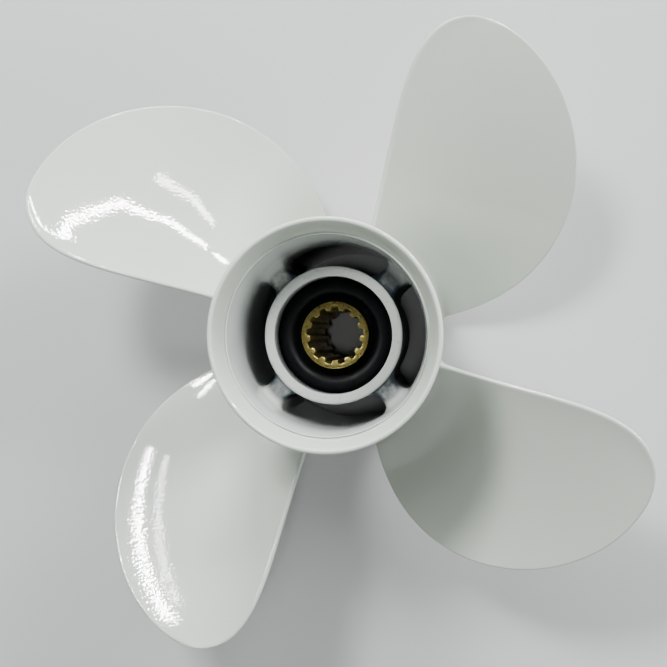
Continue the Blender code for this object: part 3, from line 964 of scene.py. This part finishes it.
sideways = node("DIVIDE", node("MULTIPLY", offset, node("SINE", slope)), radius)
turn = node("SUBTRACT", turn, sideways)
height = node("ADD", height, node("MULTIPLY", offset, node("COSINE", slope)))
wall = node("MULTIPLY_ADD", height, OUTSIDE_DRAFT, FRONT_RADIUS)
off_wall = node("SUBTRACT", wall, given["Root radius"])
past_wall = node("SUBTRACT", radius, given["Root radius"])
near_wall = node("SUBTRACT", 1.0, node("DIVIDE", past_wall, WALL_REACH, use_clamp=True))
radius = node("MULTIPLY_ADD", off_wall, near_wall, radius)
sunk = node("MULTIPLY_ADD", buried, BURIED_STEP, BURIED_TRACE)
radius = node("SUBTRACT", radius, sunk)
across = node("MULTIPLY", radius, node("COSINE", turn))
along = node("MULTIPLY", radius, node("SINE", turn))
spot = node(COMBINE, across, along, height)
shaped = node("GeometryNodeSetPosition", {"Geometry": grid, "Position": spot})
closed = node("GeometryNodeMergeByDistance", {"Geometry": shaped, "Distance": SEAM_DISTANCE})
repeat_round(blade_tree, closed, given["Blades"], given["Paint"])
blades = grow("cast_blades", blade_tree, {**BLADE_INPUTS, "Paint": enamel}, sharp=60)

# %% [markdown]
# ## Riding on the frame
# Each piece stands for the imported solids whose shape it refines, and rides on the one body
# of this part. The third entry of each row names a finish, which nothing reads. Each piece
# could be fitted in its own cell, but one list shows at a glance that no solid is forgotten.

# %% Fit the pieces to the frame
blade_nodes = [f"blade_{i + 1}" for i in range(BLADES)]
rib_nodes = [f"rib_{i + 1}" for i in range(RIBS)]
fitted = [
    (barrel, ["outer_barrel"], "white_paint"),
    (hub, ["inner_hub"], "sprayed_casting"),
    (ribs, rib_nodes, "sprayed_casting"),
    (blades, blade_nodes, "white_paint"),
    (bush, ["rubber_bush"], "black_rubber"),
    (sleeve, ["spline_sleeve"], "cast_brass"),
]
for piece, nodes, finish in fitted:
    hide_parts(*nodes)
    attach(piece, "root")
    print(piece.name, "stands for", ", ".join(nodes))

# %% [markdown]
# ## The floor
# The propeller stands on a plain pale floor of matt paint. One flat face is enough, and it
# is wide enough to reach past every view, so no dark edge shows behind the object.

# %% Floor
FLOOR_SIZE = 10.0
FLOOR_SHADE = "c6c7c8"
FLOOR_LIGHT = "cccdce"
# The floor's clouds are a third of a metre wide, as of paint laid with a roller.
FLOOR_CLOUDS = 3.0


def studio_floor():
    """Matt floor paint. It gives the eye an even pale grey with no reflections."""
    material, tree, shader, place = new_material("matt_floor_paint")
    cloud = add(tree, NOISE, {"Vector": place, "Scale": FLOOR_CLOUDS, "Detail": 3.0})
    colour = add(tree, MIX, cloud, linear(FLOOR_SHADE), linear(FLOOR_LIGHT), data_type="RGBA")
    fill(tree, shader, {"Base Color": colour, "Roughness": 0.8})
    half = FLOOR_SIZE / 2
    corners = [(-half, -half, 0), (half, -half, 0), (half, half, 0), (-half, half, 0)]
    mesh = bpy.data.meshes.new("floor")
    mesh.from_pydata(corners, [], [(0, 1, 2, 3)])
    mesh.materials.append(material)
    floor = put_in_scene("floor", mesh)
    return floor


print(studio_floor().name, FLOOR_SIZE, "m wide")

# %% [markdown]
# ## Lights
# Glossy paint shows its lamps, so what lights a surface and what it reflects are chosen
# apart. Soft boxes light the surfaces only, and thin tubes show as reflections only. Lamps
# that did both would light the paint too much. A bent tube is a row of straight lights.

# %% Light helpers
LIGHT_AIM = Vector((0.0, 0.0, 0.06))
BOX_DISTANCE = 1.8


def soft_light(name, start, end, width, power, glossy):
    """An area light from start to end that faces the propeller. A glossy one shows as a
    reflection only, and any other lights the surfaces only."""
    lamp = bpy.data.lights.new(name, "AREA")
    lamp.shape = "RECTANGLE"
    start, end = Vector(start), Vector(end)
    lamp.size = (end - start).length
    lamp.size_y = width
    lamp.energy = power
    holder = put_in_scene(name, lamp)
    middle = (start + end) / 2
    long_way = (end - start).normalized()
    back = (middle - LIGHT_AIM).normalized()
    back = (back - long_way * back.dot(long_way)).normalized()
    turn = Matrix((long_way, back.cross(long_way), back)).transposed().to_4x4()
    holder.matrix_world = Matrix.Translation(middle) @ turn
    holder.visible_diffuse = not glossy
    holder.visible_glossy = glossy


def soft_box(name, towards, size, power):
    """A square soft light that lights the surfaces only."""
    middle = Vector(towards).normalized() * BOX_DISTANCE
    half = middle.cross(Vector((0.0, 0.0, 1.0))).normalized() * size / 2
    soft_light(name, middle - half, middle + half, size, power, glossy=False)


def tube(name, width, power, corners):
    """A bent tube light, with one light for each of its straight stretches."""
    stretches = list(zip(corners, corners[1:]))
    whole = sum((Vector(b) - Vector(a)).length for a, b in stretches)
    for i, (a, b) in enumerate(stretches):
        share = (Vector(b) - Vector(a)).length / whole
        soft_light(f"{name}_{i + 1}", a, b, width, power * share, glossy=True)


print("soft boxes stand", BOX_DISTANCE, "m away")

# %% [markdown]
# A key box from the upper left casts the barrel's shadow, and weaker boxes fill it. The
# tubes draw the speckled arcs and the glints on the two left blades, and four low lights
# round the propeller draw the bright line along the blades' edges. A picture of a studio
# could light all of it at once, but single lamps can be moved until each glint is in place.

# %% Lights
# Each tube has its width, its power in watts and its corners.
TUBES = {
    "tube_left": (0.02, 26.0, [(-0.40, 1.42, 0.80), (-1.07, 0.60, 1.20)]),
    "tube_left_dim": (0.02, 4.0, [(-0.54, 1.36, 0.75), (-1.06, 0.69, 1.14)]),
    "tube_right": (0.035, 50.0, [
        (0.54, 1.21, 1.12), (0.55, 1.06, 1.27), (0.89, 0.97, 1.14),
        (1.13, 0.99, 0.86), (1.22, 1.07, 0.55), (1.21, 1.18, 0.24)]),
    "tube_right_dim": (0.05, 9.0, [(1.08, 0.79, 1.11), (1.28, 0.78, 0.87), (1.37, 0.91, 0.49)]),
    "tube_low": (0.03, 10.0, [(-0.19, 1.59, 0.64), (-0.08, 1.69, 0.27)]),
    "tube_low_side": (0.04, 5.0, [(-0.25, 1.64, 0.42), (-0.17, 1.68, 0.25)]),
    "tube_front": (0.05, 1.0, [(0.80, -1.46, 0.39), (0.30, -1.56, 0.67), (0.07, -1.48, 0.90)]),
}
# The first rim light stands on the +X side, and each next one a quarter turn further.
RIM_PLACE = Vector((1.6, 0.0, 0.58))
RIM_HALF_LENGTH = 0.6
RIM_WIDTH = 0.15
RIM_POWERS = (14.0, 18.0, 6.0, 3.0)
# Each soft box has the direction that it stands in, its size and its power in watts.
SOFT_BOXES = {
    "key": ((-0.25, 0.50, 0.83), 0.35, 30.0),
    "right_fill": ((0.60, 0.60, 0.55), 0.5, 28.0),
    "low_fill": ((0.0, 0.95, 0.30), 0.5, 32.0),
    "high_fill": ((0.0, 0.50, 0.87), 0.6, 2.0),
    "side_fill": ((0.70, 0.0, 0.70), 0.7, 3.0),
    "front_fill": ((0.45, -0.45, 0.80), 0.5, 4.5),
    "overhead": ((0.05, -0.042, 1.0), 0.10, 2.5),
}
# The room's own light is faint, and lifts the deepest shadows.
ROOM_COLOUR = "f2f4f5"
ROOM_STRENGTH = 0.10

for name, (tube_width, power, corners) in TUBES.items():
    tube(name, tube_width, power, corners)
for side, power in enumerate(RIM_POWERS):
    middle = Matrix.Rotation(side * math.pi / 2, 3, "Z") @ RIM_PLACE
    half = Vector((0.0, 0.0, 1.0)).cross(middle).normalized() * RIM_HALF_LENGTH
    soft_light(f"rim_light_{side + 1}", middle - half, middle + half, RIM_WIDTH, power, glossy=True)
for name, (towards, size, power) in SOFT_BOXES.items():
    soft_box(name, towards, size, power)
world = bpy.data.worlds.new("studio")
world.use_nodes = True
room = world.node_tree.nodes["Background"]
fill(world.node_tree, room, {"Color": linear(ROOM_COLOUR), "Strength": ROOM_STRENGTH})
bpy.context.scene.world = world

# %% [markdown]
# ## The camera
# The camera looks down on the aft end from a little to the right, through a long lens.
# Several lenses fit the photo about equally well, and this one was chosen because it gives
# the blades a usual pitch. The camera's place and turn were found by fitting the edges of
# all four blades and the hub's circles, which is more exact than turning it by eye.

# %% Camera
# The place is in metres. The tilt is about Y and the nod about X, in radians.
CAMERA_PLACE = (0.069632, 0.001318, 0.723736)
CAMERA_TILT = -0.110
CAMERA_NOD = 0.001
FOCAL_PIXELS = 1560
IMAGE_PIXELS = 667
SENSOR_WIDTH = 36.0

lens = bpy.data.cameras.new("camera")
lens.sensor_width = SENSOR_WIDTH
lens.lens = SENSOR_WIDTH * FOCAL_PIXELS / IMAGE_PIXELS
lens.clip_start = 0.01
camera = put_in_scene("camera", lens)
turned_view = Matrix.Rotation(CAMERA_NOD, 3, "X") @ Matrix.Rotation(CAMERA_TILT, 3, "Y")
camera.matrix_world = Matrix.Translation(CAMERA_PLACE) @ turned_view.transposed().to_4x4()
bpy.context.scene.camera = camera
print("lens", round(lens.lens, 1), "mm")
